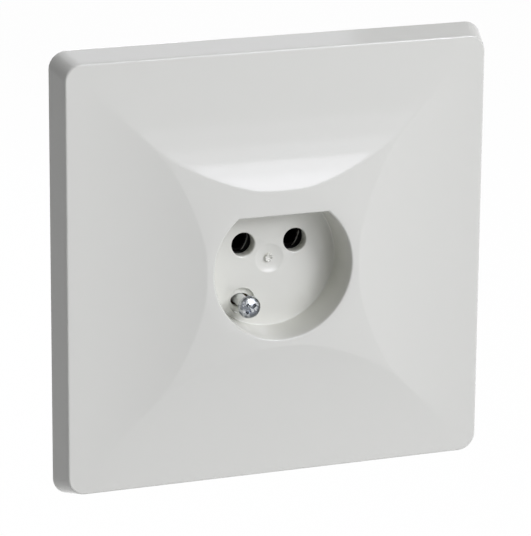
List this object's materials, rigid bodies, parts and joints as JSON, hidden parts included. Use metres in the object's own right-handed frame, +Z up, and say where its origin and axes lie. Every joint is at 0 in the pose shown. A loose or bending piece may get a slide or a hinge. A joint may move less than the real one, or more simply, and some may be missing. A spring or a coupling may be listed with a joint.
{
  "type": "ceiling lamp outlet",
  "caption": "Flush ceiling lamp outlet: square moulded cover with hollowed sides and a flat-topped plug well, over a contact insert on a slotted steel yoke.",
  "frame": {"origin": "centre of the box-screw pattern on the ceiling plane, which is the back of the cover's rim and of the yoke", "axes": "+Z up as the face is seen, towards the well's flat side; +X to the right; the face looks along -Y and the insert goes into the ceiling box along +Y"},
  "size_m": [0.0866, 0.0363, 0.0866],
  "materials": {
    "white_moulding": "smooth moulded, slightly glossy",
    "dark_moulding": "moulded thermoset, satin",
    "plated_screw": "bright zinc plate",
    "galvanised_sheet": "galvanised sheet",
    "spring_steel": "tempered strip",
    "brass_sheet": "stamped and rolled",
    "brass_turning": "machined"
  },
  "bodies": {
    "root": {"cover_plate": "white_moulding", "well_floor": "white_moulding", "cover_screw": "plated_screw", "cover_screw_bush": "brass_turning", "entry_disc": "dark_moulding", "front_plate": "dark_moulding", "contact_block": "dark_moulding", "rear_cover": "dark_moulding", "rear_cover_screw_upper": "plated_screw", "rear_cover_screw_lower": "plated_screw", "mounting_yoke": "galvanised_sheet", "yoke_screw_left": "plated_screw", "yoke_screw_right": "plated_screw", "line_contact": "brass_sheet", "neutral_contact": "brass_sheet", "line_contact_spring": "spring_steel", "neutral_contact_spring": "spring_steel", "line_terminal_cage": "brass_turning", "neutral_terminal_cage": "brass_turning", "line_terminal_screw": "plated_screw", "neutral_terminal_screw": "plated_screw"}
  },
  "joints": []
}
